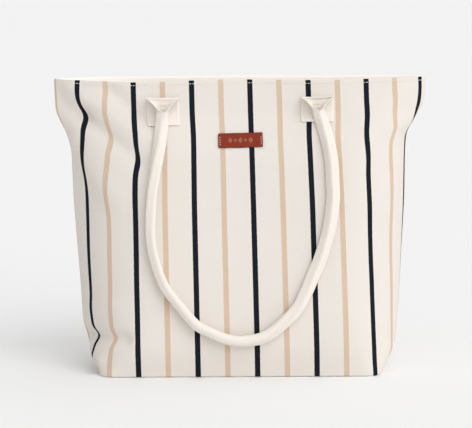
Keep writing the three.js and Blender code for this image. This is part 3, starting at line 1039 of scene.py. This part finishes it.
def tape(name, route, across, node):
    """Binding folded over a seam allowance: a soft flat tube along a route, its width lying across."""
    along = unit(np.gradient(route, axis=0))
    side = unit(np.cross(along, across))
    angles = np.arange(16) / 16 * 2 * math.pi
    shape_x = np.sign(np.cos(angles)) * np.abs(np.cos(angles)) ** 0.5 * BINDING_WIDTH / 2
    shape_y = np.sign(np.sin(angles)) * np.abs(np.sin(angles)) ** 0.7 * BINDING_THICKNESS / 2
    rings = route[:, None] + shape_x[:, None] * np.array(across) + shape_y[:, None] * side[:, None]
    uv = np.stack(np.broadcast_arrays(shape_x, distances(route)[:, None]), -1)
    piece = swept(name, rings, materials["seam_tape"], uv)
    stand_for(piece, "bag", node)


def side_tapes(front_half):
    """The bound seams down the inside of the two sides."""
    for side, label in ((-1, "left"), (1, "right")):
        v = np.linspace(13 * MM, HEIGHT - 5 * MM, 70)
        edge = front_half.place(side * HALF_WIDTH, v)
        inset = np.interp(v, [0, HEIGHT * 0.7, HEIGHT], [6 * MM, 8 * MM, 12 * MM])
        route = np.stack([edge[:, 0] - side * inset, np.zeros_like(v), edge[:, 2]], 1)
        tape(f"{label}_side_binding", route, (1, 0, 0), f"{label}_side_seam_tape")


def base_tapes():
    """The bound seams round the inside of the base, where the CAD has them."""
    for name in ("front", "back", "left", "right"):
        low, high = (np.array(corner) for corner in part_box(f"{name}_base_seam_tape"))
        centre = (low + high) / 2
        long_way = 0 if name in ("front", "back") else 1
        steps = np.linspace(low[long_way], high[long_way], 40)
        route = np.tile(centre, (len(steps), 1))
        route[:, long_way] = steps
        tape(f"{name}_base_binding", route, (0, 0, 1), f"{name}_base_seam_tape")


def pressed_marks(a, b):
    """How far each place on the label is pressed in: a row of diamonds, large and small, with hollows."""
    pressed = np.zeros_like(a)
    for number in range(-2, 3):
        size = DIAMOND_SIZES[number % 2]
        distance = np.abs(a - number * DIAMOND_PITCH) / (size * DIAMOND_SHAPE) + np.abs(b) / size
        pressed = np.maximum(pressed, np.clip((1.08 - distance) / 0.16, 0, 1))
        hollow = np.clip((distance - 0.26) / 0.16, 0, 1)
        pressed = np.where(distance < 0.42, hollow * pressed, pressed)
    return pressed


def under_label(a, b):
    """Where on the cloth a place on the tilted label is."""
    u = a * math.cos(LABEL_TILT) - b * math.sin(LABEL_TILT)
    return u, LABEL_MIDDLE + a * math.sin(LABEL_TILT) + b * math.cos(LABEL_TILT)


def label(half):
    """A leather tab with rounded corners and a row of pressed diamonds."""
    a, b = np.meshgrid(np.linspace(-LABEL_WIDTH / 2, LABEL_WIDTH / 2, 143),
                       np.linspace(-LABEL_HEIGHT / 2, LABEL_HEIGHT / 2, 46))
    over = np.maximum(np.abs(b) - (LABEL_HEIGHT / 2 - LABEL_CORNER), 0)
    trim = LABEL_CORNER - np.sqrt(np.maximum(LABEL_CORNER ** 2 - over ** 2, 0))
    a = a * (1 - trim / (LABEL_WIDTH / 2))
    pressed = pressed_marks(a, b)
    edge = np.minimum(LABEL_WIDTH / 2 - np.abs(a), LABEL_HEIGHT / 2 - np.abs(b))
    rounded = 0.35 * MM * np.clip(1 - edge / (0.9 * MM), 0, 1) ** 2
    curl = 0.5 * MM * (np.abs(a) / (LABEL_WIDTH / 2)) ** 6
    lift = LABEL_THICKNESS + 0.3 * MM + curl - rounded - 0.3 * MM * pressed
    burnish = np.clip(1 - edge / (0.8 * MM), 0, 1) * 0.7
    marks = {"pressed": pressed, "burnished": burnish}
    piece = slab("leather_label_tab", half.place(*under_label(a, b), lift), LABEL_THICKNESS,
                 materials["label_leather"], np.stack([a, b], -1), marks)
    stand_for(piece, "bag", "leather_label")
    for side, word in ((-1, "left"), (1, "right")):
        along = np.linspace(-1, 1, 20) * 6.4 * MM
        u, v = under_label(side * (LABEL_WIDTH / 2 - 1.9 * MM), along)
        place = half.place(u, v, LABEL_THICKNESS + 0.35 * MM)
        runs = stitches_along(place, half.normal(u, v), 2.2 * MM, 0.9 * MM)
        thread_piece(f"label_{word}_stitches", runs, "front", "bag", f"label_stitch_{word}")


# ---------------- stage

def floor_and_dome():
    """A pale round floor, and a glowing dome that only the camera sees, so there is no horizon."""
    nodes = Nodes("backdrop")
    nodes.set("Base Color", FLOOR_COLOUR)
    turns = np.linspace(0, 2 * math.pi, 64, endpoint=False)
    corners = [(math.cos(turn) * STAGE_REACH, math.sin(turn) * STAGE_REACH, 0) for turn in turns]
    build("floor", corners, [range(len(corners))], nodes.finish(0.95), smooth=False)
    wall = Nodes("backdrop_wall")
    wall.set("Base Color", (0, 0, 0))
    wall.set("Emission Color", (1, 1, 1))
    wall.set("Emission Strength", WALL_GLOW)
    bpy.ops.mesh.primitive_uv_sphere_add(segments=64, ring_count=32, radius=STAGE_REACH)
    dome = bpy.context.object
    dome.name = "backdrop_dome"
    dome.data.materials.append(wall.finish(1.0))
    for seen in ("diffuse", "glossy", "transmission", "shadow"):
        setattr(dome, f"visible_{seen}", False)


def room():
    """A bright room all round, brighter on the right."""
    nodes = Nodes("studio", "worlds", "Background")
    place = nodes.add("ShaderNodeTexCoord").outputs["Generated"]
    side = nodes.add("ShaderNodeSeparateXYZ", {0: place}).outputs[0]
    nodes.set("Color", (1, 1, 1))
    nodes.set("Strength", nodes.math("MULTIPLY_ADD", side, ROOM_TILT, ROOM_LIGHT))
    bpy.context.scene.world = nodes.owner


def key_light():
    """A big soft light from the front right."""
    light = bpy.data.lights.new("key", "SUN")
    light.energy = KEY_LIGHT
    light.angle = KEY_SIZE
    lamp = bpy.data.objects.new("key", light)
    lamp.location = KEY_PLACE
    toward = Vector([part * math.cos(KEY_HEIGHT) for part in KEY_TOWARD] + [-math.sin(KEY_HEIGHT)])
    lamp.rotation_euler = toward.to_track_quat("-Z", "Y").to_euler()
    bpy.context.collection.objects.link(lamp)


def camera():
    """A long lens at the height and side that the bag is seen from."""
    level = math.cos(CAMERA_ELEVATION)
    away = Vector((math.sin(CAMERA_AZIMUTH) * level, -math.cos(CAMERA_AZIMUTH) * level,
                   math.sin(CAMERA_ELEVATION)))
    data = bpy.data.cameras.new("camera")
    data.sensor_width = SENSOR_WIDTH
    data.lens = SENSOR_WIDTH * CAMERA_DISTANCE / CAMERA_FIELD
    cam = bpy.data.objects.new("camera", data)
    cam.location = Vector(CAMERA_TARGET) + away * CAMERA_DISTANCE
    cam.rotation_euler = (-away).to_track_quat("-Z", "Y").to_euler()
    bpy.context.collection.objects.link(cam)
    bpy.context.scene.camera = cam
    bpy.context.scene.view_settings.view_transform = "Standard"


camera()
floor_and_dome()
room()
key_light()
front = Half("front", *shaped("front", rng))
back = Half("back", *shaped("back", rng))
base()
for half in (front, back):
    panel(half)
    facing(half)
    rim_stitch(half)
    strap = Strap(half)
    handle(half, strap)
    seam_stitches(half, strap)
    filler(half, strap)
    for side in (-1, 1):
        handle_end(half, side)
        box_stitch(half, side)
side_tapes(front)
base_tapes()
label(front)
